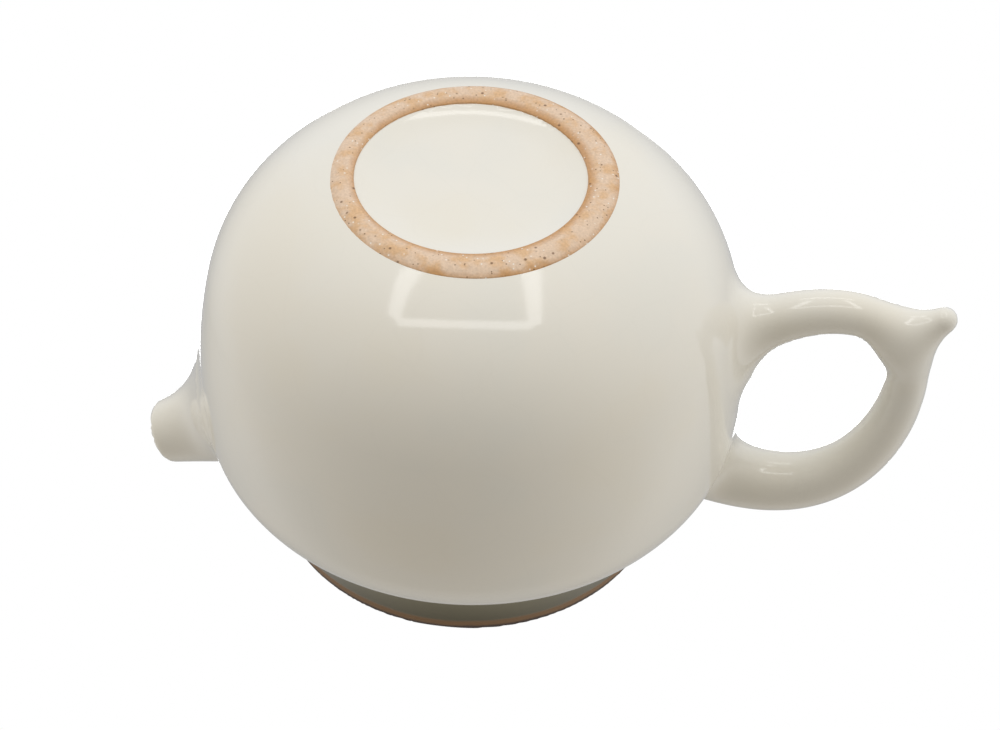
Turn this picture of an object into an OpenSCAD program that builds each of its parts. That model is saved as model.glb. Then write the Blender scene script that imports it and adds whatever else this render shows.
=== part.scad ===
// Round ceramic teapot on a foot ring, with a loose lift-off lid.
// The origin is the middle of the foot ring's standing face. +Z is up, the spout
// points along +X and the handle along -X. Every size is in millimetres.

/* [Body] */
// Half width of the globe at its widest ring
body_r = 45; // [42:0.5:50]
// Radius of the nearly upright side
side_arc = 75; // [60:1:100]
// Radius of the curve that turns under to the foot
base_arc = 28.3; // [26:0.1:30]
// Radius of the shoulder curve
shoulder_arc = 14; // [11:0.5:17]
// Angle that the side runs below the widest ring
side_down = 13; // [10:0.5:16]
// Angle that the side runs above the widest ring
side_up = 6; // [4:0.5:8]
// Thickness of the globe's wall
body_wall = 3; // [2:0.1:4]
// Thickness of the floor of the globe
floor_t = 3.2; // [2.5:0.1:5]
// Thickness of the clay slip that bonds two pieces
slip_t = 0.04; // [0.02:0.01:0.1]

/* [Foot ring] */
// Height of the foot ring, from the table to the floor of the globe
foot_h = 2.7; // [2:0.1:4]
// Outer radius of the standing face
foot_r = 23.2; // [21:0.2:25]
// Width of the foot ring
foot_w = 5; // [4:0.2:8]
// Extra radius where the ring runs out into the globe
foot_flare = 2.4; // [1.5:0.1:3.5]
// Rounding of the standing face's edges
foot_round = 1.2; // [0.4:0.1:1.5]

/* [Neck] */
// Outer radius of the neck
neck_r = 32.3; // [30:0.1:34]
// Thickness of the neck's wall
neck_wall = 3; // [2.4:0.1:4]
// Height of the neck from the shoulder to the mouth's rim
neck_h = 11.8; // [9:0.2:16]
// Rounding where the neck leaves the shoulder
neck_fillet = 2; // [1:0.1:3]
// Rounding of the rim's edges
lip_round = 1.1; // [0.5:0.1:1.2]
// Depth of the lid's seat below the rim
seat_depth = 4; // [3:0.1:5]
// Width of the seat that carries the lid
seat_w = 3; // [2:0.1:4]
// Thickness of the seat
seat_t = 2.4; // [1.8:0.1:3]

/* [Spout] */
// Distance from the globe's widest ring out to the middle of the spout's tip
spout_out = 8.5; // [7:0.5:12]
// Drop from the mouth's rim to the middle of the tip
spout_drop = 6.2; // [4:0.2:8]
// Rise of the spout's straight line, in degrees
spout_rise = 23.6; // [18:0.2:30]
// Outer radius of the tip
spout_tip_r = 5.2; // [4.6:0.1:6]
// Growth of the radius for each millimetre towards the root
spout_taper = 0.14; // [0.08:0.01:0.2]
// Downward swell of the root, measured spout_swell_at from the tip
spout_swell = 3.5; // [2.5:0.1:4.2]
// Distance from the tip at which the swell is measured
spout_swell_at = 16; // [14:0.5:18]
// Thickness of the spout's wall
spout_wall = 1.7; // [1.2:0.1:2.2]
// Rounding of the tip's edge
spout_lip = 0.8; // [0.4:0.1:1]

/* [Strainer] */
// Slope of the shoulder where the pouring hole is cut, in degrees
pour_a = 40; // [37:0.5:43]
// Radius of the pouring hole
pour_r = 5.6; // [4.6:0.1:5.8]
// Thickness of the pierced thimble in the hole
strainer_t = 1.6; // [1.2:0.1:2]
// Radius of one pierced hole
pierce_r = 0.6; // [0.4:0.05:0.65]
// Rings of holes around the middle one
pierce_rings = 2; // [1:1:2]
// Angle between one ring of holes and the next
pierce_step = 24; // [20:1:27]

/* [Handle] */
// Distance from the globe's widest ring out to the middle of the grip
handle_out = 27.1; // [23:0.1:33]
// Drop from the widest ring to the grip's slimmest place
grip_drop = 3.5; // [1:0.1:7]
// Radius of the grip at its slimmest place
grip_r = 3.6; // [3:0.1:4.4]
// Drop from the widest ring to the root of the lower arm
low_root_drop = 10.5; // [8:0.1:13]
// Radius of the lower arm at its root
low_root_r = 4.9; // [4:0.1:6]
// Rise from the widest ring to the root of the upper arm
high_root_rise = 14.1; // [11:0.1:16]
// Radius of the upper arm at its root
high_root_r = 6.1; // [5:0.1:6.4]
// How far the lower arm is drawn down below its root
low_drop = 10.3; // [8:0.1:14]
// How far the upper arm is drawn up above its root
high_lift = 21.1; // [17:0.1:25]
// Length of the grip's pull towards the lower arm
low_pull = 18.1; // [14:0.1:22]
// Length of the grip's pull towards the upper arm
high_pull = 14.9; // [11:0.1:19]
// Extra radius of the slip pressed round each root
root_flare = 1.2; // [0.4:0.1:2]

/* [Handle spur] */
// Place of the spur along the lower arm, from root 0 to grip 1
spur_at = 0.77; // [0.7:0.01:0.86]
// Distance from the arm's middle to the middle of the spur's rounded tip
spur_len = 8.9; // [6:0.1:11]
// Downward slope of the spur, in degrees
spur_dip = 38; // [25:1:50]
// Radius of the spur's rounded tip
spur_tip_r = 2; // [1.4:0.1:2.4]
// Step from the arm's radius down to the radius of the spur's root
spur_step = 0.3; // [0.1:0.1:0.8]

/* [Lid] */
// Gap round the lid inside the mouth
lid_gap = 0.5; // [0.3:0.1:1]
// Height of the lid's upright edge
lid_edge = 2.2; // [1.5:0.1:3]
// Rise of the dome from its edge to its top
lid_rise = 6.8; // [5:0.1:10]
// Thickness of the dome
lid_wall = 3; // [2:0.1:4]
// Gap round the flange inside the seat
flange_gap = 0.6; // [0.3:0.1:1]
// Thickness of the flange
flange_t = 2.6; // [2:0.1:3.4]
// Depth of the flange below the seat
flange_depth = 8; // [5:0.2:10]
// Radius of the knob's ball
knob_r = 7.2; // [6:0.1:9]
// Radius of the knob's stem
knob_stem_r = 3.8; // [3:0.1:4.8]
// Height of the ball's middle above the top of the dome
knob_lift = 8; // [7:0.2:11]
// Radius of the vent
vent_r = 1; // [0.6:0.1:1.4]
// Distance from the vent to the lid's middle
vent_at = 14; // [11:0.5:18]

/* [Hidden] */
$fn = 160;
glaze = [0.91, 0.90, 0.86];
glaze_shade = [0.86, 0.85, 0.80];
biscuit = [0.84, 0.66, 0.55];
far = 200;           // beyond every outline
handle_rings = 22;   // rings along each half of the handle
handle_sides = 20;
spout_rings = 16;    // rings along the spout behind its rounded lip
lip_rings = 4;
spout_sides = 28;
spout_sink = 9;      // run of the spout's loft behind the pouring hole, inside globe and neck
swell_power = 2.45;  // how sharply the spout's root swells
flare_power = 12;    // how sharply the handle's roots flare
arm_start = 14.3;    // run of the lower arm before it turns, seen from its root
arm_finish = 18.4;   // run of the upper arm before it turns down to the shoulder
root_sink = 2;       // depth of the handle's ends under the globe's surface
look = 0.01;         // step along the handle that gives its direction
pierce_more = 6;     // holes that each ring of the strainer has more than the last

// The globe's outline is three arcs that meet tangentially, as [radius, height].
function dir(a) = [cos(a), sin(a)];
foot_in_r = foot_r - foot_w;
base_x = body_r - side_arc + (side_arc - base_arc) * cos(side_down);
function arc_z(x, r, at) = sqrt(max(r * r - pow(at - x, 2), 0));
equator_z = foot_h + arc_z(base_x, base_arc, foot_r + foot_flare) + (side_arc - base_arc) * sin(side_down);
side_c = [body_r - side_arc, equator_z];
low_joint = side_c + side_arc * dir(-side_down);
base_c = low_joint - base_arc * dir(-side_down);
high_joint = side_c + side_arc * dir(side_up);
shoulder_c = high_joint - shoulder_arc * dir(side_up);
function arc_x(c, r, z) = c.x + sqrt(max(r * r - pow(z - c.y, 2), 0));
function globe_r(z) =
    z < low_joint.y ? arc_x(base_c, base_arc, z) :
    z < high_joint.y ? arc_x(side_c, side_arc, z) : arc_x(shoulder_c, shoulder_arc, z);

// Height at which the neck is bonded to the globe, and the mouth inside it.
neck_z = shoulder_c.y + arc_z(shoulder_c.x, shoulder_arc, neck_r + neck_fillet);
rim_z = neck_z + neck_h;
mouth_r = neck_r - neck_wall;
seat_z = rim_z - seat_depth;
seat_r = mouth_r - seat_w;

// The spout's line in its own plane, and the downward swell towards its root.
spout_tip = [body_r + spout_out, rim_z - spout_drop];
spout_dir = dir(spout_rise);
spout_up = dir(spout_rise + 90);
function swell(s) = spout_swell * pow(s / spout_swell_at, swell_power);
function spout_r(s) = spout_tip_r + spout_taper * s + swell(s);
function lip_cut(s) = s < spout_lip ? spout_lip - sqrt(pow(spout_lip, 2) - pow(spout_lip - s, 2)) : 0;

// The pouring hole is square to the globe's shoulder.
pour_p = shoulder_c + shoulder_arc * dir(pour_a);
dome_p = pour_p - body_wall * dir(pour_a);
strainer_r = pour_r - slip_t;
spout_end = (spout_tip.x - pour_p.x + spout_sink) / spout_dir.x;

// The handle's middle line is two curves that meet at the slimmest part of the grip.
function curve(p, t) =
    pow(1 - t, 3) * p[0] + 3 * t * pow(1 - t, 2) * p[1] + 3 * t * t * (1 - t) * p[2] + pow(t, 3) * p[3];
grip_p = [body_r + handle_out, equator_z - grip_drop];
low_root_z = equator_z - low_root_drop;
high_root_z = equator_z + high_root_rise;
low_root = [globe_r(low_root_z) - root_sink, low_root_z];
high_root = [globe_r(high_root_z) - 2 * root_sink, high_root_z];
low_curve = [low_root, low_root + [arm_start, -low_drop], grip_p - [0, low_pull], grip_p];
high_curve = [grip_p, grip_p + [0, high_pull], high_root + [arm_finish, high_lift], high_root];
function handle_p(u) = u < 1 ? curve(low_curve, u) : curve(high_curve, u - 1);
function handle_r(u) = u < 1 ?
    grip_r + (low_root_r - grip_r) * pow(1 - u, 3) + root_flare * pow(1 - u, flare_power) :
    grip_r + (high_root_r - grip_r) * (u - 1) + root_flare * pow(u - 1, flare_power);
function handle_dir(u) =
    let (d = handle_p(min(u + look, 2)) - handle_p(max(u - look, 0))) d / norm(d);

// The lid's dome is part of a ball through the top of its edge.
lid_r = mouth_r - lid_gap;
dome_r = (pow(lid_r, 2) + pow(lid_rise, 2)) / (2 * lid_rise);
dome_z = seat_z + lid_edge + lid_rise - dome_r;
lid_top = dome_z + dome_r;
flange_r = seat_r - flange_gap;
knob_z = lid_top + knob_lift;

// A quarter of a disc, on the left or right of its middle and above or below it
module quarter(c, r, left, up) {
    intersection() {
        translate(c) circle(r);
        translate(c - [left ? 2 * r : 0, up ? 0 : 2 * r]) square(2 * r);
    }
}

// What a corner loses when it is rounded, on the left or right of the disc's middle and above or below it
module corner(c, r, left, up) {
    difference() {
        translate(c - [left ? 2 * r : 0, up ? 0 : 2 * r]) square(2 * r);
        translate(c) circle(r);
    }
}

// The part of a disc between two heights, right of the axis
module slab(c, r, z0, z1) {
    intersection() {
        translate(c) circle(r);
        translate([0, z0]) square([far, z1 - z0]);
    }
}

// Half section of the globe from height z0 to height z1, drawn inwards by inset
module globe_2d(inset, z0, z1) {
    low_z = side_c.y - (side_arc - inset) * sin(side_down);
    high_z = side_c.y + (side_arc - inset) * sin(side_up);
    slab(base_c, base_arc - inset, z0, low_z);
    slab(side_c, side_arc - inset, low_z, high_z);
    slab(shoulder_c, shoulder_arc - inset, high_z, z1);
    translate([0, z0]) square([foot_in_r, z1 - z0]);
}

// Half section of the neck's outside from height z0 up, with the rounding at its foot, grown by grow
module neck_2d(grow, z0) {
    translate([0, z0]) square([neck_r + grow, rim_z - z0]);
    difference() {
        translate([0, neck_z]) square([neck_r + neck_fillet, neck_fillet + slip_t]);
        translate([neck_r + neck_fillet, neck_z + neck_fillet + slip_t]) circle(neck_fillet - grow);
    }
}

// The whole outside of globe and neck, which cuts what is bonded to them
module envelope() {
    rotate_extrude() {
        globe_2d(-slip_t, foot_h, neck_z);
        neck_2d(slip_t, equator_z);
    }
}

// A closed skin over rings of points
module skin(rings) {
    n = len(rings);
    m = len(rings[0]);
    function at(i, k) = i * m + k % m;
    polyhedron(
        points = [for (ring = rings) each ring],
        faces = concat(
            [for (i = [0:n - 2], k = [0:m - 1]) [at(i, k), at(i + 1, k + 1), at(i, k + 1)]],
            [for (i = [0:n - 2], k = [0:m - 1]) [at(i, k), at(i + 1, k), at(i + 1, k + 1)]],
            [[for (k = [0:m - 1]) at(0, k)]],
            [[for (k = [m - 1:-1:0]) at(n - 1, k)]]
        )
    );
}

// One ring of the spout, s behind its tip; the ring shrinks by trim
function spout_ring(s, trim) =
    let (c = spout_tip - s * spout_dir - swell(s) * spout_up, r = spout_r(s) - trim)
    [for (k = [0:spout_sides - 1])
        let (a = 360 * k / spout_sides, q = c + r * cos(a) * spout_up) [q.x, r * sin(a), q.y]];

// One ring of the handle, grown by grow
function handle_ring(u, grow) =
    let (c = handle_p(u), d = handle_dir(u), r = handle_r(u) + grow)
    [for (k = [0:handle_sides - 1])
        let (a = 360 * k / handle_sides, q = c + r * cos(a) * [-d.y, d.x]) [-q.x, r * sin(a), q.y]];

module handle_arm(grow) {
    skin([for (i = [0:2 * handle_rings]) handle_ring(i / handle_rings, grow)]);
}

// Half section of the hollow globe from height z0 to height z1
module wall_2d(z0, z1) {
    intersection() {
        difference() {
            globe_2d(0, foot_h, neck_z);
            globe_2d(body_wall, foot_h + floor_t, neck_z);
            translate([0, equator_z]) square([mouth_r, far]);
        }
        translate([0, z0]) square([far, z1 - z0]);
    }
}

module pot_body() {
    color(glaze) rotate_extrude() wall_2d(foot_h, equator_z);
}

module pot_shoulder() {
    color(glaze) difference() {
        rotate_extrude() wall_2d(equator_z, neck_z);
        translate([pour_p.x, 0, pour_p.y]) rotate([0, 90 - pour_a, 0])
            cylinder(r = pour_r, h = 4 * body_wall, center = true);
    }
}

module foot_ring() {
    color(biscuit) rotate_extrude() {
        difference() {
            translate([foot_in_r, 0]) square([foot_w, foot_h]);
            corner([foot_in_r + foot_round, foot_round], foot_round, true, false);
            corner([foot_r - foot_round, foot_round], foot_round, false, false);
        }
        intersection() {
            slab(base_c, base_arc, foot_round, foot_h);
            translate([foot_in_r, 0]) square(far);
        }
    }
}

module neck_collar() {
    color(glaze_shade) rotate_extrude() difference() {
        neck_2d(0, neck_z);
        translate([0, equator_z]) square([seat_r, far]);
        translate([0, seat_z]) square([mouth_r, far]);
        translate([0, seat_z - seat_t - far]) square([mouth_r, far]);
        corner([mouth_r + lip_round, rim_z - lip_round], lip_round, true, true);
        corner([neck_r - lip_round, rim_z - lip_round], lip_round, false, true);
    }
}

module spout() {
    back = [for (i = [0:spout_rings]) spout_lip + (spout_end - spout_lip) * i / spout_rings];
    lip = [for (i = [0:lip_rings - 1]) spout_lip * (1 - cos(90 * i / lip_rings))];
    color(glaze) difference() {
        skin([for (s = concat(lip, back)) spout_ring(s, lip_cut(s))]);
        skin([for (s = concat([-spout_lip, 0], back, [spout_end + 1])) spout_ring(max(s, 0), spout_wall)
            + [for (k = [1:spout_sides]) -min(s, 0) * [spout_dir.x, 0, spout_dir.y]]]);
        envelope();
    }
}

// A thimble in the pouring hole, with its pierced round end inside the globe
module strainer() {
    color(glaze_shade) translate([dome_p.x, 0, dome_p.y]) rotate([0, -90 - pour_a, 0]) difference() {
        rotate_extrude() difference() {
            union() {
                translate([0, -body_wall]) square([strainer_r, body_wall]);
                quarter([0, 0], strainer_r, false, true);
            }
            translate([0, -body_wall - slip_t]) square([strainer_r - strainer_t, body_wall + slip_t]);
            quarter([0, 0], strainer_r - strainer_t, false, true);
        }
        for (ring = [0:pierce_rings], k = [0:max(pierce_more * ring - 1, 0)])
            rotate([0, 0, 360 * k / max(pierce_more * ring, 1)]) rotate([0, ring * pierce_step, 0])
                translate([0, 0, strainer_r - 1.5 * strainer_t]) cylinder(r = pierce_r, h = 2 * strainer_t);
    }
}

module handle() {
    color(glaze) difference() {
        handle_arm(0);
        envelope();
    }
}

module handle_spur() {
    p = handle_p(spur_at);
    color(glaze) difference() {
        translate([-p.x, 0, p.y]) rotate([0, -90 - spur_dip, 0]) rotate_extrude() {
            polygon([[0, 0], [handle_r(spur_at) - spur_step, 0], [spur_tip_r, spur_len], [0, spur_len]]);
            intersection() {
                translate([0, spur_len]) circle(spur_tip_r);
                square(far);
            }
        }
        handle_arm(slip_t);
    }
}

module lid_cap() {
    color(glaze) difference() {
        rotate_extrude() {
            difference() {
                intersection() {
                    translate([0, dome_z]) circle(dome_r);
                    translate([0, seat_z]) square([lid_r, far]);
                }
                intersection() {
                    translate([0, dome_z]) circle(dome_r - lid_wall);
                    square([flange_r - flange_t, far]);
                }
            }
        }
        translate([-vent_at, 0, seat_z]) cylinder(r = vent_r, h = far);
    }
}

module lid_flange() {
    color(glaze_shade) rotate_extrude()
        translate([flange_r - flange_t, seat_z - flange_depth]) square([flange_t, flange_depth]);
}

module lid_knob() {
    color(glaze) rotate_extrude() {
        difference() {
            union() {
                intersection() {
                    translate([0, knob_z]) circle(knob_r);
                    translate([0, dome_z]) square(far);
                }
                translate([0, dome_z]) square([knob_stem_r, knob_z - dome_z]);
            }
            translate([0, dome_z]) circle(dome_r + slip_t);
        }
    }
}

pot_body();
pot_shoulder();
foot_ring();
neck_collar();
spout();
strainer();
handle();
handle_spur();
lid_cap();
lid_flange();
lid_knob();
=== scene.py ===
import math

import bmesh
import bpy
import numpy as np
from mathutils import Matrix, Vector


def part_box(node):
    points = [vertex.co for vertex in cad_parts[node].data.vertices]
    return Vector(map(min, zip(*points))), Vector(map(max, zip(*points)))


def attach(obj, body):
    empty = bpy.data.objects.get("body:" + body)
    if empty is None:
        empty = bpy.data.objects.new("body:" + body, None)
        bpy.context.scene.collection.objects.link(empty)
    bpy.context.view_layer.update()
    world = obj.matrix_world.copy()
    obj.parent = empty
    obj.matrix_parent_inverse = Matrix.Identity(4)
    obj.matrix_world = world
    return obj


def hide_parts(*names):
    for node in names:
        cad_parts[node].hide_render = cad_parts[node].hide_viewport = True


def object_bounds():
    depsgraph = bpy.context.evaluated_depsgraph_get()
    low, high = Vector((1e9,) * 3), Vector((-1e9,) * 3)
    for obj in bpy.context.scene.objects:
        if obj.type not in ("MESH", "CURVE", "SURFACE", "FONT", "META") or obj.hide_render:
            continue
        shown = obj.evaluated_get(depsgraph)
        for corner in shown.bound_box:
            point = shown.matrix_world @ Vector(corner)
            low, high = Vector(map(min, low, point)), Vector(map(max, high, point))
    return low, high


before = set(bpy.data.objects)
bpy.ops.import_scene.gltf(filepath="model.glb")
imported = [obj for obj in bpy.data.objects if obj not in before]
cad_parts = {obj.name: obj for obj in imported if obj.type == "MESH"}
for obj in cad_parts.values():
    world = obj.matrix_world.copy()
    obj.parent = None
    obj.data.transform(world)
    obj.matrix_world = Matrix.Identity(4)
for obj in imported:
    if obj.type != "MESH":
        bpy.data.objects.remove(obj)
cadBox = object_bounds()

scene = bpy.context.scene
mm = 0.001


def nodeBox(name):                       # a CAD node's corners, in millimetres
    low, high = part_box(name)
    return low / mm, high / mm


# what the CAD frame says about the pot, in millimetres
footH = nodeBox("pot_body")[0].z
bodyR = nodeBox("pot_body")[1].y
rimZ = nodeBox("neck_collar")[1].z
lidTop = nodeBox("lid_cap")[1].z
seatZ = nodeBox("lid_cap")[0].z
lidR = nodeBox("lid_cap")[1].y
flangeR = nodeBox("lid_flange")[1].y
flangeZ = nodeBox("lid_flange")[0].z
knobTop = nodeBox("lid_knob")[1].z
knobR = nodeBox("lid_knob")[1].y


# small helpers

def polar(deg, length=1.0):
    a = math.radians(deg)
    return np.array([math.cos(a), math.sin(a)]) * length


def makeObject(name, data, body=None, *nodes, slot="glaze"):
    obj = bpy.data.objects.new(name, data)
    scene.collection.objects.link(obj)
    if body:
        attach(obj, body)
    if nodes:
        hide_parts(*nodes)
    return obj


def bmToMesh(bm, name):
    bmesh.ops.remove_doubles(bm, verts=bm.verts, dist=0.001 * mm)
    bmesh.ops.recalc_face_normals(bm, faces=bm.faces)
    mesh = bpy.data.meshes.new(name)
    bm.to_mesh(mesh)
    bm.free()
    mesh.shade_smooth()
    return mesh


def rounded(corners, steps):             # corners are (radius, height, rounding), in millimetres
    out = []
    for i, (x, z, rad) in enumerate(corners):
        if rad <= 0:
            out.append((x, z))
            continue
        p = Vector((x, z))
        toA = (Vector(corners[i - 1][:2]) - p).normalized()
        toB = (Vector(corners[(i + 1) % len(corners)][:2]) - p).normalized()
        half = toA.angle(toB) / 2
        mid = p + (toA + toB).normalized() * rad / math.sin(half)
        start = p + toA * rad / math.tan(half) - mid
        end = p + toB * rad / math.tan(half) - mid
        for k in range(steps + 1):
            q = start.slerp(end, k / steps) + mid
            out.append((q.x, q.y))
    return out


def spun(points, closed, steps):         # turns an outline round the pot's axis
    bm = bmesh.new()
    verts = [bm.verts.new((x * mm, 0, z * mm)) for x, z in points]
    pairs = list(zip(verts, verts[1:]))
    if closed:
        pairs.append((verts[-1], verts[0]))
    edges = [bm.edges.new(p) for p in pairs]
    bmesh.ops.spin(bm, geom=verts + edges, cent=(0, 0, 0), axis=(0, 0, 1), angle=math.tau,
                   steps=steps, use_merge=True, use_duplicate=False)
    return bm


# the pot's shape, as a gap in millimetres from any point to its glazed surface

globe = {"sideArc": 75, "baseArc": 30, "shoulderArc": 14, "sideDown": 13, "sideUp": 6,
         "footReach": 27.29, "wall": 3, "floor": 3.2, "floorBend": 8, "drift": -0.35}
neck = {"radius": 32.6, "wall": 3.3, "fillet": 3.2, "lip": 1.1,
        "seatWidth": 3, "seatThick": 2.4, "seatBite": 1, "seatFillet": 0.6}
recess = {"flat": 12.5, "top": 1.55, "rise": 0.9, "edge": 18.2}
foot = {"radius": 20.7}                  # the part of it under the ring
spout = {"out": 8.4, "drop": 6.2, "rise": 24.8, "tip": 5.32, "taper": 0.18,
         "swell": 1.5, "swellAt": 16, "swellPower": 2, "wall": 1.7, "lip": 1.45,
         "length": 15.9, "rootReach": 1.5, "fillet": 12.5, "tightness": 0.25, "blur": 0.1}
pour = {"slope": 43, "radius": 4.2, "past": 0.6}
handle = {"out": 26.8, "gripDrop": 7.25, "grip": 3.34, "lowDrop": 9.96, "low": 4.35, "lowPower": 3,
          "highRise": 16.9, "high": 5.76, "lowRun": (18.1, -15.1), "highRun": (23.2, 14.9),
          "lowPull": 8.6, "highPull": 19.4, "sink": 2, "flare": 1.2, "flarePower": 12,
          "fillet": 6.9, "sideFrom": 0.6}
spur = {"at": 0.778, "length": 8.3, "dip": 42.8, "root": 2.7, "tip": 2.1, "fillet": 6.5}
search = {"samples": 241, "batch": 8000, "rounds": 3, "nudge": 0.001, "bendNudge": 0.01}

sideToBase = globe["sideArc"] - globe["baseArc"]
baseX = bodyR - globe["sideArc"] + sideToBase * polar(globe["sideDown"])[0]
equatorZ = footH + sideToBase * polar(globe["sideDown"])[1] \
    + math.sqrt(globe["baseArc"] ** 2 - (globe["footReach"] - baseX) ** 2)
sideC = np.array([bodyR - globe["sideArc"], equatorZ])
baseC = sideC + polar(-globe["sideDown"], sideToBase)
shoulderC = sideC + polar(globe["sideUp"], globe["sideArc"] - globe["shoulderArc"])
mouthR = neck["radius"] - neck["wall"]
seatR = mouthR - neck["seatWidth"]
spoutTip = np.array([bodyR + spout["out"], rimZ - spout["drop"]])
spoutDir = polar(spout["rise"])
spoutUp = polar(spout["rise"] + 90)
pourDir = polar(pour["slope"])
pourSpot = shoulderC + globe["shoulderArc"] * pourDir


def meltMin(a, b, k):                    # the smaller of two gaps, with a fillet of about k between them
    h = np.clip(k - np.abs(a - b), 0, None) / k
    return np.minimum(a, b) - h * h * k / 4


def meltMax(a, b, k):
    return -meltMin(-a, -b, k)


def globeGap(r, z):                      # three arcs that meet smoothly, and a flat top under the neck
    fromBase = np.hypot(r - baseC[0], z - baseC[1]) - globe["baseArc"]
    fromSide = np.hypot(r - sideC[0], z - sideC[1]) - globe["sideArc"]
    fromShoulder = np.hypot(r - shoulderC[0], z - shoulderC[1]) - globe["shoulderArc"]
    under = np.arctan2(z - baseC[1], r - baseC[0]) < -math.radians(globe["sideDown"])
    over = np.arctan2(z - shoulderC[1], r - shoulderC[0]) > math.radians(globe["sideUp"])
    gap = np.where(under, fromBase, np.where(over, fromShoulder, fromSide))
    onTop = (r < shoulderC[0]) & (z > shoulderC[1])
    gap = np.where(onTop, z - shoulderC[1] - globe["shoulderArc"], gap)
    return np.where((r < baseC[0]) & (z < baseC[1]), baseC[1] - globe["baseArc"] - z, gap)


def recessHeight(r):                     # the glazed hollow inside the foot ring, dished towards its edge
    climb = np.clip((r - recess["flat"]) / (recess["edge"] - recess["flat"]), 0, 1)
    return recess["top"] - recess["rise"] * climb ** 2


def spoutGap(x, y, z, trim):             # also how far past the tip a point is, and how far above the middle
    past = (x - spoutTip[0]) * spoutDir[0] + (z - spoutTip[1]) * spoutDir[1]
    lift = (x - spoutTip[0]) * spoutUp[0] + (z - spoutTip[1]) * spoutUp[1]
    back = np.clip(-past, 0, spout["length"])
    swell = spout["swell"] * (back / spout["swellAt"]) ** spout["swellPower"]
    radius = spout["tip"] + spout["taper"] * back + swell - trim
    return np.hypot(lift + swell, y) - radius, past, lift


def bezier(p, t):
    t = np.asarray(t, float)[..., None]
    return (1 - t) ** 3 * p[0] + 3 * t * (1 - t) ** 2 * p[1] + 3 * t * t * (1 - t) * p[2] + t ** 3 * p[3]


def globeRadius(z):                      # outer radius of the side or shoulder at a height
    if z < shoulderC[1] + globe["shoulderArc"] * polar(globe["sideUp"])[1]:
        return sideC[0] + math.sqrt(globe["sideArc"] ** 2 - (z - sideC[1]) ** 2)
    return shoulderC[0] + math.sqrt(globe["shoulderArc"] ** 2 - (z - shoulderC[1]) ** 2)


lowZ = equatorZ - handle["lowDrop"]
highZ = equatorZ + handle["highRise"]
gripSpot = np.array([bodyR + handle["out"], equatorZ - handle["gripDrop"]])
lowRoot = np.array([globeRadius(lowZ) - handle["sink"], lowZ])
highRoot = np.array([globeRadius(highZ) - 2 * handle["sink"], highZ])
lowCurve = [lowRoot, lowRoot + handle["lowRun"], gripSpot - (0, handle["lowPull"]), gripSpot]
highCurve = [gripSpot, gripSpot + (0, handle["highPull"]), highRoot + handle["highRun"], highRoot]


def handleSpot(u):                       # middle line, from the lower root at 0 past the grip at 1 to 2
    u = np.asarray(u, float)
    lowSpot = bezier(lowCurve, np.clip(u, 0, 1))
    highSpot = bezier(highCurve, np.clip(u - 1, 0, 1))
    return np.where((u < 1)[..., None], lowSpot, highSpot)


def handleRadius(u):
    low = np.clip(1 - u, 0, 1)
    high = np.clip(u - 1, 0, 1)
    flare = low ** handle["flarePower"] + high ** handle["flarePower"]
    return handle["grip"] + (handle["low"] - handle["grip"]) * low ** handle["lowPower"] \
        + (handle["high"] - handle["grip"]) * high + handle["flare"] * flare


handleU = np.linspace(0, 2, search["samples"])
handleLine = handleSpot(handleU)


def armGap(x, y, z):                     # the nearest place on the middle line, refined between its samples
    flat = np.stack([-x, z], -1)
    near = np.empty(len(flat), int)
    batch, nudge, bendNudge = search["batch"], search["nudge"], search["bendNudge"]
    for i in range(0, len(flat), batch):
        far = ((flat[i:i + batch, None] - handleLine) ** 2).sum(-1)
        near[i:i + batch] = far.argmin(1)
    u = handleU[near]
    step = handleU[1] - handleU[0]
    for turn in range(search["rounds"]):
        p = handleSpot(u)
        d = (handleSpot(u + nudge) - handleSpot(u - nudge)) / (2 * nudge)
        bend = (handleSpot(u + bendNudge) - 2 * p + handleSpot(u - bendNudge)) / bendNudge ** 2
        off = flat - p
        slope = (off * d).sum(-1)
        curve = (d * d).sum(-1) - (off * bend).sum(-1)
        u = np.clip(u + np.clip(slope / np.maximum(curve, 1), -step, step), 0, 2)
    off = flat - handleSpot(u)
    return np.sqrt((off * off).sum(-1) + y * y) - handleRadius(u)


def coneGap(x, y, z, a, b, ra, rb):      # a tapered rod with round ends, in the plane of the handle
    p = np.stack([-x - a[0], y, z - a[1]], -1)
    line = np.array([b[0] - a[0], 0, b[1] - a[1]])
    t = np.clip(p @ line / (line @ line), 0, 1)
    return np.linalg.norm(p - t[:, None] * line, axis=1) - (ra + (rb - ra) * t)


spurRoot = handleSpot(spur["at"])
spurTip = spurRoot + polar(-spur["dip"], spur["length"])


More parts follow.
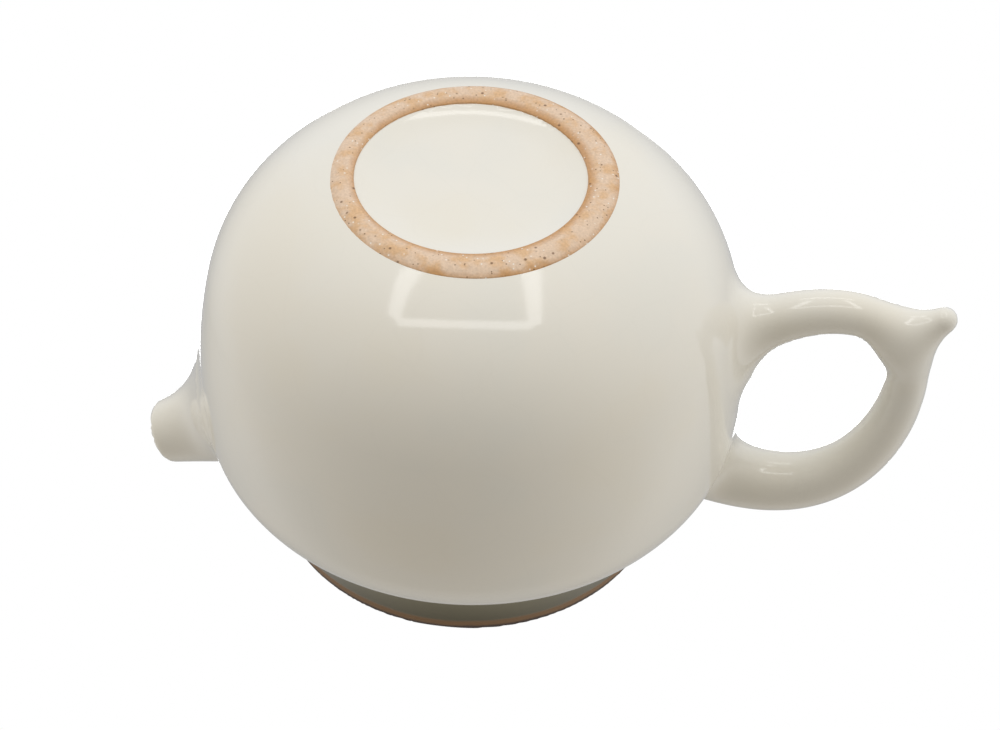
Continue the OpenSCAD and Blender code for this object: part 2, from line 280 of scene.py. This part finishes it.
def potGap(p):
    x, y, z = p.T
    r = np.hypot(x, y)
    swing = np.sin(np.pi * np.clip((z - footH) / (2 * (equatorZ - footH)), 0, 1)) ** 2
    body = globeGap(np.hypot(x - globe["drift"] * swing, y), z)   # hand-thrown, so a little off its axis
    cavity = meltMax(body + globe["wall"], footH + globe["floor"] - z, globe["floorBend"])
    base = np.maximum(r - foot["radius"], z - equatorZ)
    shell = np.maximum(np.minimum(body, base), recessHeight(r) - z)
    tube = meltMax(np.maximum(r - neck["radius"], equatorZ - z), z - rimZ, neck["lip"])
    shell = meltMin(shell, tube, neck["fillet"])

    side = x < -handle["sideFrom"] * bodyR                        # the handle's side of the pot
    spot = x[side], y[side], z[side]
    point = coneGap(*spot, spurRoot, spurTip, spur["root"], spur["tip"])
    arm = meltMin(armGap(*spot), point, spur["fillet"])
    shell[side] = meltMin(shell[side], arm, handle["fillet"])

    outer, past, lift = spoutGap(x, y, z, 0)
    outer = np.maximum(outer, -past - spout["rootReach"] * spout["length"])
    outer = meltMax(outer, past, spout["lip"])
    over = lift / (np.hypot(lift, y) + spout["blur"])             # the root is drawn out below, tight above
    fillet = spout["fillet"] * (1 - spout["tightness"] - spout["tightness"] * over)
    shell = meltMin(shell, outer, fillet)

    inner = spoutGap(x, y, z, spout["wall"])[0]
    bore = np.maximum(np.maximum(inner, -body), -past - spout["length"])
    along = (x - pourSpot[0]) * pourDir[0] + (z - pourSpot[1]) * pourDir[1]
    across = np.hypot(y, (z - pourSpot[1]) * pourDir[0] - (x - pourSpot[0]) * pourDir[1])
    hole = np.maximum(across - pour["radius"], np.abs(along) - 2 * globe["wall"])
    hole = np.maximum(hole, body - pour["past"])
    mouth = np.maximum(r - mouthR, equatorZ - z)
    hollow = np.minimum(np.minimum(cavity, mouth), np.minimum(bore, hole))
    solid = meltMax(shell, -hollow, neck["lip"])

    seatMiddle = seatZ - neck["seatThick"] / 2
    seat = np.maximum(seatR - r, r - mouthR - neck["seatBite"])
    seat = np.maximum(seat, np.abs(z - seatMiddle) - neck["seatThick"] / 2)
    return meltMin(solid, seat, neck["seatFillet"])


def gapSlope(p, step=0.02):
    out = np.empty_like(p)
    for axis in range(3):
        move = np.zeros(3)
        move[axis] = step
        out[:, axis] = (potGap(p + move) - potGap(p - move)) / (2 * step)
    return out


# mesh of the pot: one point in each cell of a grid that the surface runs through,
# and one face round each edge of the grid that it cuts

skin = {"cell": 0.84, "margin": 2, "rounds": 3, "pulls": 2, "longest": 1, "flattest": 0.2, "even": 0.5}


def gridGaps(low, count):
    gaps = np.empty(count)
    layer = np.meshgrid(np.arange(count[1]), np.arange(count[2]), indexing="ij")
    flat = np.stack(layer, -1).reshape(-1, 2)
    for i in range(count[0]):
        spots = np.column_stack([np.full(len(flat), float(i)), flat])
        gaps[i] = potGap(low + spots * skin["cell"]).reshape(count[1:])
    return gaps


def cellPoints(gaps, cells):             # the middle of the places where the surface cuts a cell's edges
    total = np.zeros((len(cells), 3))
    cuts = np.zeros(len(cells))
    for axis in range(3):
        for side in ((0, 0), (0, 1), (1, 0), (1, 1)):
            start = np.insert(side, axis, 0)
            a = gaps[tuple((cells + start).T)]
            b = gaps[tuple((cells + start + np.eye(3, dtype=int)[axis]).T)]
            cut = (a < 0) != (b < 0)
            share = np.where(cut, a / np.where(cut, a - b, 1), 0)
            total += cut[:, None] * (start + share[:, None] * np.eye(3)[axis])
            cuts += cut
    return cells + total / cuts[:, None]


def cutFaces(inside, number):            # wound so that each face looks out of the clay
    faces = []
    for axis in range(3):
        before = np.delete(inside, -1, axis)
        after = np.delete(inside, 0, axis)
        for edges, step in ((np.argwhere(before & ~after), 1), (np.argwhere(after & ~before), -1)):
            around = []
            for u, w in ((1, 1), (0, 1), (0, 0), (1, 0))[::step]:
                shift = np.zeros(3, int)
                shift[(axis + 1) % 3], shift[(axis + 2) % 3] = u, w
                around.append(number[tuple((edges - shift).T)])
            faces.append(np.stack(around, -1))
    return np.concatenate(faces)


def potSkin():
    low, high = (np.array(v) / mm for v in cadBox)
    low = low - skin["margin"]
    count = np.ceil((high + skin["margin"] - low) / skin["cell"]).astype(int) + 1
    gaps = gridGaps(low, count)
    inside = gaps < 0
    corners = sum(np.where(inside, 1, 0)[x:x - 1 or None, y:y - 1 or None, z:z - 1 or None]
                  for x in (0, 1) for y in (0, 1) for z in (0, 1))
    cells = np.argwhere((corners > 0) & (corners < 8))
    number = np.full(corners.shape, -1)
    number[tuple(cells.T)] = np.arange(len(cells))
    points = low + cellPoints(gaps, cells) * skin["cell"]
    mesh = bpy.data.meshes.new("glazed_pot")
    mesh.from_pydata((points * mm).tolist(), [], cutFaces(inside, number).tolist())
    return mesh


def evenOut(mesh):
    bm = bmesh.new()
    bm.from_mesh(mesh)
    bmesh.ops.smooth_vert(bm, verts=bm.verts, factor=skin["even"],
                          use_axis_x=True, use_axis_y=True, use_axis_z=True)
    bm.to_mesh(mesh)
    bm.free()


def settle(mesh):                        # draws the points onto the pot's surface, evened out in between
    co = np.empty(len(mesh.vertices) * 3)
    for turn in range(skin["rounds"]):
        if turn:
            evenOut(mesh)
        mesh.vertices.foreach_get("co", co)
        p = co.reshape(-1, 3) / mm
        for pull in range(skin["pulls"]):
            g = gapSlope(p)
            gap = np.clip(potGap(p), -skin["longest"], skin["longest"])
            p = p - g * (gap / np.maximum((g * g).sum(1), skin["flattest"]))[:, None]
        mesh.vertices.foreach_set("co", (p * mm).ravel())
    mesh.update()
    g = gapSlope(p)
    g /= np.maximum(np.linalg.norm(g, axis=1), 1e-6)[:, None]
    mesh.shade_smooth()
    mesh.normals_split_custom_set_from_vertices(g.astype(np.float32))
    print("glazed pot: largest gap left, mm", round(float(np.abs(potGap(p)).max()), 3))


print("glazed pot")
potMesh = potSkin()
settle(potMesh)
potObj = makeObject("glazed_pot", potMesh, "pot", "pot_body", "pot_shoulder", "neck_collar",
                    "spout", "handle", "handle_spur")
print("glazed pot: faces", len(potMesh.polygons))


# foot ring: a bead of bare clay, turned and then wiped with a sponge

ring = {"inner": 18.2, "crown": 20.5, "outer": 23.2, "innerDrop": 0.5, "outerDrop": 1.0,
        "power": 2.2, "points": 29, "steps": 224,
        "innerShift": 0.3, "outerShift": -0.25, "innerWide": 1.012, "outerWide": 0.985}
print("foot ring")


def beadHeight(r):                       # the standing side, which falls from the crown to the glaze lines
    which = "inner" if r < ring["crown"] else "outer"
    share = abs((r - ring["crown"]) / (ring[which] - ring["crown"]))
    return ring[which + "Drop"] * share ** ring["power"]


beadOutline = [(r, beadHeight(r)) for r in np.linspace(ring["inner"], ring["outer"], ring["points"])]
beadOutline += [(ring["outer"], footH), (ring["inner"], footH)]
bead = spun(beadOutline, True, ring["steps"])
for v in bead.verts:                     # turned by hand, so its two edges aren't quite round
    out = (math.hypot(v.co.x, v.co.y) / mm - ring["inner"]) / (ring["outer"] - ring["inner"])
    wide = ring["innerWide"] + (ring["outerWide"] - ring["innerWide"]) * out
    shift = ring["innerShift"] + (ring["outerShift"] - ring["innerShift"]) * out
    v.co.x = v.co.x * wide + shift * mm
ringObj = makeObject("foot_ring_bare", bmToMesh(bead, "foot_ring_bare"), "pot", "foot_ring", slot="biscuit")


# lid: dome, flange and knob turned as one outline, with a vent hole drilled through the dome

lid = {"edge": 2.2, "wall": 3, "flange": 2.6, "skirt": 8.5, "knobEnd": -46,
       "waist": 4.0, "waistLift": 0.5, "waistRound": 1.5, "domeFrom": 0.8, "domeTo": 1.6, "edgeFrom": 1.2,
       "edgeRound": 0.8, "seatRound": 0.5, "rootRound": 0.3, "flangeRound": 0.9, "insideRound": 1.5,
       "insideEnd": 4, "ceilingFrom": 5, "vent": 1.0, "ventAt": 14, "sharp": 42,
       "steps": 144, "knobSteps": 24, "waistSteps": 10, "domeSteps": 24, "cornerSteps": 5,
       "ceilingSteps": 14, "ventSides": 24}
print("lid")
domeRise = lidTop - seatZ - lid["edge"]
domeR = (lidR ** 2 + domeRise ** 2) / (2 * domeRise)
domeZ = lidTop - domeR
ceilingR = domeR - lid["wall"]
flangeIn = flangeR - lid["flange"]
insideEnd = flangeIn - lid["insideEnd"]
edgeFrom = lidR - lid["edgeFrom"]


def domeAt(radius, x):                   # height of the dome or of its ceiling
    return domeZ + math.sqrt(radius ** 2 - x * x)


def domePoints(radius, x0, x1, count):
    return [(x, domeAt(radius, x)) for x in np.linspace(x0, x1, count)]


def knobPoints():
    middle = np.array([0, knobTop - knobR])
    return [tuple(middle + polar(a, knobR)) for a in np.linspace(90, lid["knobEnd"], lid["knobSteps"])]


def drillVent():
    bm = bmesh.new()
    middle = Vector((-lid["ventAt"], 0, (flangeZ + knobTop) / 2))
    bmesh.ops.create_cone(bm, cap_ends=True, segments=lid["ventSides"], radius1=lid["vent"] * mm,
                          radius2=lid["vent"] * mm, depth=(knobTop - flangeZ) * mm,
                          matrix=Matrix.Translation(middle * mm))
    drill = makeObject("vent_drill", bmToMesh(bm, "vent_drill"))
    tool = lidObj.modifiers.new("vent", "BOOLEAN")
    tool.operation = "DIFFERENCE"
    tool.solver = "EXACT"
    tool.object = drill
    graph = bpy.context.evaluated_depsgraph_get()
    mesh = bpy.data.meshes.new_from_object(lidObj.evaluated_get(graph))
    lidObj.modifiers.clear()
    lidObj.data = mesh
    mesh.set_sharp_from_angle(angle=math.radians(lid["sharp"]))
    bpy.data.objects.remove(drill)


knobArc = knobPoints()
lidOutline = [(0, knobTop)] + knobArc[1:-1]
lidOutline += rounded([(*knobArc[-1], 0),
                       (lid["waist"], lidTop + lid["waistLift"], lid["waistRound"]),
                       (lid["skirt"], domeAt(domeR, lid["skirt"]), 0)], lid["waistSteps"])
lidOutline += domePoints(domeR, lid["skirt"] + lid["domeFrom"], lidR - lid["domeTo"], lid["domeSteps"])
lidOutline += rounded([(edgeFrom, domeAt(domeR, edgeFrom), 0),
                       (lidR, seatZ + lid["edge"], lid["edgeRound"]),
                       (lidR, seatZ, lid["seatRound"]),
                       (flangeR, seatZ, lid["rootRound"]),
                       (flangeR, flangeZ, lid["flangeRound"]),
                       (flangeIn, flangeZ, lid["flangeRound"]),
                       (flangeIn, domeAt(ceilingR, flangeIn), lid["insideRound"]),
                       (insideEnd, domeAt(ceilingR, insideEnd), 0)], lid["cornerSteps"])[1:]
lidOutline += domePoints(ceilingR, flangeIn - lid["ceilingFrom"], 0, lid["ceilingSteps"])
lidMesh = bmToMesh(spun(lidOutline, False, lid["steps"]), "glazed_lid")
lidObj = makeObject("glazed_lid", lidMesh, "lid", "lid_cap", "lid_flange", "lid_knob")
drillVent()


# materials

def linear(hexCode):                     # sRGB hex to the linear colour that shaders take
    parts = [int(hexCode[i:i + 2], 16) / 255 for i in (0, 2, 4)]
    return tuple(c / 12.92 if c <= 0.04045 else ((c + 0.055) / 1.055) ** 2.4 for c in parts) + (1,)


def addNode(tree, kind, inputs=None, **settings):    # an input is a value or another node's output
    node = tree.nodes.new("ShaderNode" + kind)
    for key, value in settings.items():
        setattr(node, key, value)
    for key, value in (inputs or {}).items():
        if isinstance(value, bpy.types.NodeSocket):
            tree.links.new(value, node.inputs[key])
        else:
            node.inputs[key].default_value = value
    return node


def newMaterial(name):
    mat = bpy.data.materials.new(name)
    mat.use_nodes = True
    mat.node_tree.nodes.clear()
    return mat, mat.node_tree


def ramp(tree, source, stops, ease="EASE"):          # stops are places with sRGB hex colours
    node = addNode(tree, "ValToRGB", {"Fac": source})
    node.color_ramp.interpolation = ease
    marks = node.color_ramp.elements
    while len(marks) < len(stops):
        marks.new(0.5)
    for mark, (spot, hexCode) in zip(marks, stops):
        mark.position = spot
        mark.color = linear(hexCode)
    return node.outputs["Color"]


def perMm(size):                         # texture scale for a pattern of that size in millimetres
    return 1 / (size * mm)


def noise(tree, spot, size, detail):
    inputs = {"Vector": spot, "Scale": perMm(size), "Detail": detail}
    return addNode(tree, "TexNoise", inputs).outputs


def span(tree, value, low, high, toLow=0.0, toHigh=1.0):
    inputs = {"Value": value, "From Min": low, "From Max": high, "To Min": toLow, "To Max": toHigh}
    return addNode(tree, "MapRange", inputs).outputs["Result"]


def sums(tree, operation, *terms):
    return addNode(tree, "Math", dict(enumerate(terms)), operation=operation).outputs["Value"]


def blend(tree, share, under, over, kind="MIX"):
    inputs = {0: share, 6: under, 7: over}
    return addNode(tree, "Mix", inputs, data_type="RGBA", blend_type=kind).outputs[2]


def fromAxis(tree, spot):                # distance from the pot's axis
    flat = addNode(tree, "VectorMath", {0: spot, 1: (1, 1, 0)}, operation="MULTIPLY").outputs["Vector"]
    return addNode(tree, "VectorMath", {0: flat}, operation="LENGTH").outputs["Value"]


def surface(tree, colour, rough, ior, height, strength, depth):
    bump = addNode(tree, "Bump", {"Height": height, "Strength": strength, "Distance": depth * mm})
    inputs = {"Base Color": colour, "Roughness": rough, "IOR": ior, "Normal": bump.outputs["Normal"]}
    shader = addNode(tree, "BsdfPrincipled", inputs)
    addNode(tree, "OutputMaterial", {"Surface": shader.outputs["BSDF"]})


# the heights are millimetres below the rim
# the two neck colours mix the neck's grey-green tone with painted shade, and the darkest lip colour is a
# painted shadow along the lip's edge
glazeLook = {"cream": "E8E5DB", "warm": "E8E4D8", "cool": "E6E4DB", "neckPaleShade": "85816C", "neck": "65614E",
             "lip": "866746", "lipShadow": "321C0C", "mottle": 24, "crackle": 11, "crackBend": 6,
             "crackSwing": 2.5, "crackWidth": 0.02, "crackShade": 0.992, "neckSide": 35.5, "sideFade": 1.5,
             "wander": 5, "wanderBy": 0.5, "neckFoot": 11.2, "footFade": 4, "greyShadeFrom": 6.5, "greyShadeTo": 2.6,
             "lipEdge": 2.3, "lipFade": 0.5, "gloss": 0.09, "bare": 0.6, "ior": 1.5,
             "peel": 9, "peelStrength": 0.05, "peelDepth": 0.4}


def neckGlaze(tree, spot, colour):       # the neck's grey-green colours, darkened with painted shade towards the rim, and where the lip is bare
    look = glazeLook
    height = addNode(tree, "SeparateXYZ", {"Vector": spot}).outputs["Z"]
    near = span(tree, fromAxis(tree, spot), look["neckSide"] * mm, (look["neckSide"] - look["sideFade"]) * mm)
    wander = noise(tree, spot, look["wander"], 3)["Fac"]
    wave = sums(tree, "MULTIPLY_ADD", wander, look["wanderBy"] * mm, height)

    def climb(low, high):
        return span(tree, wave, (rimZ - low) * mm, (rimZ - high) * mm)

    # where the neck's grey-green tone and painted shade take over from the cream
    greyShadeBand = sums(tree, "MULTIPLY", climb(look["neckFoot"], look["neckFoot"] - look["footFade"]), near)
    bare = sums(tree, "MULTIPLY", climb(look["lipEdge"], look["lipEdge"] - look["lipFade"]), near)
    # grey-green glaze with painted shade, pale near the shoulder and darker towards the rim
    greyAndShade = ramp(tree, climb(look["greyShadeFrom"], look["greyShadeTo"]),
                [(0, look["neckPaleShade"]), (1, look["neck"])], "LINEAR")
    # the bare lip's brown clay, with a painted shadow darkening it towards the rim's edge
    lipClayShadow = ramp(tree, climb(look["lipEdge"], 0), [(0.45, look["lip"]), (0.75, look["lipShadow"])])
    return blend(tree, bare, blend(tree, greyShadeBand, colour, greyAndShade), lipClayShadow), bare


def stonewareGlaze(name, neckToo):
    # stoneware under a glossy off-white glaze: on the neck it turns grey-green, partly its own tone and
    # partly painted shade that deepens towards the rim, and it draws back from the lip, which is left as bare
    # brown clay with a painted shadow at its edge
    look = glazeLook
    mat, tree = newMaterial(name)
    spot = addNode(tree, "TexCoord").outputs["Object"]
    mottle = noise(tree, spot, look["mottle"], 3)["Fac"]
    colour = ramp(tree, mottle, [(0.35, look["cool"]), (0.5, look["cream"]), (0.68, look["warm"])])
    bend = noise(tree, spot, look["crackBend"], 2)["Color"]
    bent = addNode(tree, "VectorMath", {0: bend, 1: (look["crackSwing"] * mm,) * 3, 2: spot},
                   operation="MULTIPLY_ADD").outputs["Vector"]
    cells = addNode(tree, "TexVoronoi", {"Vector": bent, "Scale": perMm(look["crackle"])},
                    feature="DISTANCE_TO_EDGE").outputs["Distance"]
    crack = span(tree, cells, 0, look["crackWidth"], look["crackShade"], 1)
    colour = blend(tree, 1, colour, crack, "MULTIPLY")
    rough = look["gloss"]
    if neckToo:
        colour, bare = neckGlaze(tree, spot, colour)
        rough = span(tree, bare, 0, 1, look["gloss"], look["bare"])
    peel = noise(tree, spot, look["peel"], 2)["Fac"]
    surface(tree, colour, rough, look["ior"], peel, look["peelStrength"], look["peelDepth"])
    return mat


# the flash starts and ends at these millimetres from the bead's middle
clayLook = {"pink": "E0C6AC", "sand": "DAB48A", "rust": "BF8A4E", "speck": "6B4A2C", "gritGlint": "F2ECE2",
            "grain": 0.4, "patch": 3, "wander": 1.6, "middle": 0.9, "outside": (1.6, 2.7),
            "inside": (-0.9, -2.1), "flash": 0.75, "dots": ((1.3, "speck"), (0.7, "speck"), (0.8, "gritGlint")),
            "dotEdge": (0.12, 0.24), "dotShade": 0.8, "dotLimit": 0.72, "rough": 0.55, "ior": 1.45,
            "bump": 0.5, "bumpDepth": 0.12}


def bareClay():
    # biscuit stoneware, sponged before firing: fine grain, iron specks, pale grit painted bright as glints,
    # and an orange flash along both glaze lines
    look = clayLook
    mat, tree = newMaterial("bare_clay")
    spot = addNode(tree, "TexCoord").outputs["Object"]
    patch = noise(tree, spot, look["patch"], 4)["Fac"]
    colour = ramp(tree, patch, [(0.42, look["pink"]), (0.66, look["sand"])])
    wave = sums(tree, "MULTIPLY_ADD", patch, look["wander"] * mm, fromAxis(tree, spot))
    middle = ring["crown"] + look["middle"]
    outer, inner = (span(tree, wave, (middle + start) * mm, (middle + end) * mm, 0, look["flash"])
                    for start, end in (look["outside"], look["inside"]))
    colour = blend(tree, sums(tree, "MAXIMUM", outer, inner), colour, linear(look["rust"]))
    grain = noise(tree, spot, look["grain"], 3)["Fac"]
    colour = blend(tree, 1, colour, span(tree, grain, 0.3, 0.7, 0.88, 1.09), "MULTIPLY")
    # dark iron specks, and pale grit specks painted bright as glints
    for size, tone in look["dots"]:
        cells = addNode(tree, "TexVoronoi", {"Vector": spot, "Scale": perMm(size)}).outputs
        dot = span(tree, cells["Distance"], *look["dotEdge"], look["dotShade"], 0)
        pick = addNode(tree, "SeparateColor", {"Color": cells["Color"]}).outputs["Red"]
        some = sums(tree, "GREATER_THAN", pick, look["dotLimit"])
        colour = blend(tree, sums(tree, "MULTIPLY", dot, some), colour, linear(look[tone]))
    surface(tree, colour, look["rough"], look["ior"], grain, look["bump"], look["bumpDepth"])
    return mat


print("materials")
potGlaze = stonewareGlaze("stoneware_glaze", True)
plainGlaze = stonewareGlaze("plain_glaze", False)
for obj, mat in ((potObj, potGlaze), (lidObj, plainGlaze), (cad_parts["strainer"], plainGlaze),
                 (ringObj, bareClay())):
    obj.data.materials.clear()
    obj.data.materials.append(mat)


# camera: it looks at the underside of the pot, which the picture shows upside down

shot = {"distance": 498.1, "below": 43.89, "turn": -7, "aimUp": 44.05, "aimSide": 0.79, "roll": 1.35,
        "focal": 3.0, "sensor": 36, "clipStart": 10}


def placeCamera():
    turn, below, aimUp, aimSide, roll = (math.radians(shot[k])
                                         for k in ("turn", "below", "aimUp", "aimSide", "roll"))

    def toPot(x, y, up):                 # from the picture's own axes, with the foot on top, to the pot's
        return Vector((-x * math.cos(turn) - y * math.sin(turn),
                       y * math.cos(turn) - x * math.sin(turn), -up))

    spot = toPot(0, -shot["distance"] * math.cos(below), shot["distance"] * math.sin(below))
    spot += Vector((0, 0, equatorZ))
    ahead = Vector((math.sin(aimSide) * math.cos(aimUp), math.cos(aimSide) * math.cos(aimUp),
                    -math.sin(aimUp)))
    level = ahead.cross(Vector((0, 0, 1))).normalized()
    upright = level.cross(ahead)
    right = level * math.cos(roll) + upright * math.sin(roll)
    top = upright * math.cos(roll) - level * math.sin(roll)
    basis = Matrix([toPot(*right), toPot(*top), -toPot(*ahead)]).transposed()
    data = bpy.data.cameras.new("camera")
    data.sensor_width = shot["sensor"]
    data.lens = shot["sensor"] * shot["focal"]
    data.clip_start = shot["clipStart"] * mm
    cam = makeObject("camera", data)
    cam.matrix_world = Matrix.Translation(spot * mm) @ basis.to_4x4()
    scene.camera = cam


print("camera, floor and light")
placeCamera()


# floor that shows only from above, so that the pot's underside can be lit and seen

floorLook = {"half": 3000, "paint": "F4F3F0"}


def paleFloor():
    bm = bmesh.new()
    bmesh.ops.create_grid(bm, x_segments=1, y_segments=1, size=floorLook["half"] * mm)
    mesh = bpy.data.meshes.new("floor")
    bm.to_mesh(mesh)
    bm.free()
    floor = makeObject("floor", mesh)
    mat, tree = newMaterial("pale_floor")
    paint = addNode(tree, "BsdfDiffuse", {"Color": linear(floorLook["paint"])}).outputs["BSDF"]
    clear = addNode(tree, "BsdfTransparent").outputs["BSDF"]
    back = addNode(tree, "NewGeometry").outputs["Backfacing"]
    mix = addNode(tree, "MixShader", {0: back, 1: paint, 2: clear})
    addNode(tree, "OutputMaterial", {"Surface": mix.outputs["Shader"]})
    mesh.materials.append(mat)
    floor.visible_diffuse = floor.visible_glossy = False
    floor.visible_transmission = floor.visible_shadow = False


paleFloor()


# light: a soft tent that is darker in front, a frame of four strips under the foot, and one lamp over the lid

light = {"front": "302D2A", "frontSide": "DFD9D0", "side": "FFFDFA", "rearSide": "FDFEFF", "rear": "E0E6F4",
         "lean": (-0.04, 0, 0.05), "level": 1.02, "rearTop": 0.45, "dimFrom": 0.7, "dimTo": 1.2,
         "frameDepth": 600, "strip": 60, "perMetre": 0.6,
         "topSpot": (60, 640, 480), "topTurn": (-55, 0, -5), "topSize": 400, "topPower": 1.8}
strips = {"strip_front": ((275, -262), (-275, -205)), "strip_spout": ((280, -230), (165, 125)),
          "strip_handle": ((-282, -200), (-130, 170)), "strip_rear": ((235, 300), (-205, 300))}


def softTent():
    world = bpy.data.worlds.new("tent")
    scene.world = world
    world.use_nodes = True
    tree = world.node_tree
    tree.nodes.clear()
    way = addNode(tree, "TexCoord").outputs["Generated"]
    axes = addNode(tree, "SeparateXYZ", {"Vector": way}).outputs
    stops = [(i / 4, light[key]) for i, key in enumerate(("front", "frontSide", "side", "rearSide", "rear"))]
    colour = ramp(tree, span(tree, axes["Y"], -1, 1), stops, "LINEAR")
    lean = addNode(tree, "VectorMath", {0: way, 1: light["lean"]}, operation="DOT_PRODUCT").outputs["Value"]
    lean = sums(tree, "ADD", lean, light["level"])
    high = sums(tree, "ADD", axes["Y"], axes["Z"])
    dim = span(tree, high, light["dimFrom"], light["dimTo"], 1, light["rearTop"])
    soft = addNode(tree, "Background", {"Color": colour, "Strength": sums(tree, "MULTIPLY", lean, dim)})
    white = addNode(tree, "Background", {"Color": (1, 1, 1, 1), "Strength": 1.0})
    seen = addNode(tree, "LightPath").outputs["Is Camera Ray"]
    mix = addNode(tree, "MixShader", {0: seen, 1: soft.outputs["Background"], 2: white.outputs["Background"]})
    addNode(tree, "OutputWorld", {"Surface": mix.outputs["Shader"]})


def lamp(name, spot, turn, size, power):
    data = bpy.data.lights.new(name, "AREA")
    data.shape = "RECTANGLE"
    data.size, data.size_y = size[0] * mm, size[1] * mm
    data.energy = power
    obj = makeObject(name, data)
    obj.location = Vector(spot) * mm
    obj.rotation_euler = turn


def strip(name, a, b):                   # a long lamp under the foot, facing up
    run = Vector(b) - Vector(a)
    mid = (Vector(a) + Vector(b)) / 2
    lamp(name, (mid.x, mid.y, -light["frameDepth"]), (math.pi, 0, math.atan2(run.y, run.x)),
         (run.length, light["strip"]), light["perMetre"] * run.length * mm)


softTent()
for name, ends in strips.items():
    strip(name, *ends)
lamp("top_lamp", light["topSpot"], [math.radians(a) for a in light["topTurn"]],
     (light["topSize"], light["topSize"]), light["topPower"])

scene.view_settings.view_transform = "Standard"
print("done")
